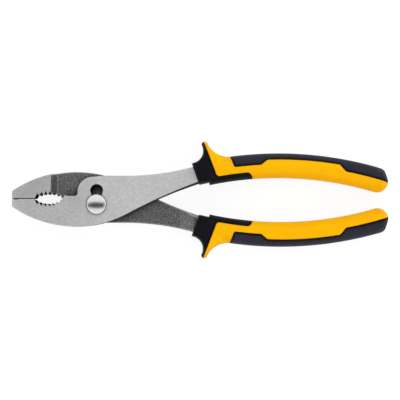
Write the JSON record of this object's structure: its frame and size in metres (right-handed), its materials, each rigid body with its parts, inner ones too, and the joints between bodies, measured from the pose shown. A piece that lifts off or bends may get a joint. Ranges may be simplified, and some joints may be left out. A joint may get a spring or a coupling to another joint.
{
  "type": "slip joint pliers",
  "caption": "Slip joint pliers with a toothed pipe grip, a shear wire cutter, a waisted slip slot and two-component grips with finger guards.",
  "frame": {"origin": "middle of the underside of the closed tool's box, below the middle of its length", "axes": "+X from the nose to the ends of the grips along the centreline, +Y to the handle of the front lever, +Z out of the front face"},
  "size_m": [0.2, 0.0626, 0.016],
  "materials": {
    "ground_steel": "satin ground faces",
    "forged_steel": "dark, lightly speckled forging",
    "polished_steel": "polished",
    "yellow_plastic": "smooth satin moulding",
    "black_collar": "matt soft moulding",
    "black_pad": "matt soft moulding"
  },
  "bodies": {
    "rear_half": {"rear_lever": "forged_steel", "lower_grip_core": "yellow_plastic", "lower_grip_collar": "black_collar", "lower_grip_pad": "black_pad"},
    "rivet": {"pivot_rivet": "polished_steel"},
    "front_half": {"front_lever": "ground_steel", "upper_grip_core": "yellow_plastic", "upper_grip_collar": "black_collar", "upper_grip_pad": "black_pad"}
  },
  "joints": [
    {"name": "jaw_hinge", "type": "hinge", "parent": "rear_half", "child": "rivet", "pos_m": [-0.0552, -0.0028, 0.008], "axis": [0, 0, 1], "range_deg": [0, 60]},
    {"name": "slip_slide", "type": "slide", "parent": "rivet", "child": "front_half", "axis": [0, -1, 0], "range_m": [0, 0.0073]}
  ]
}
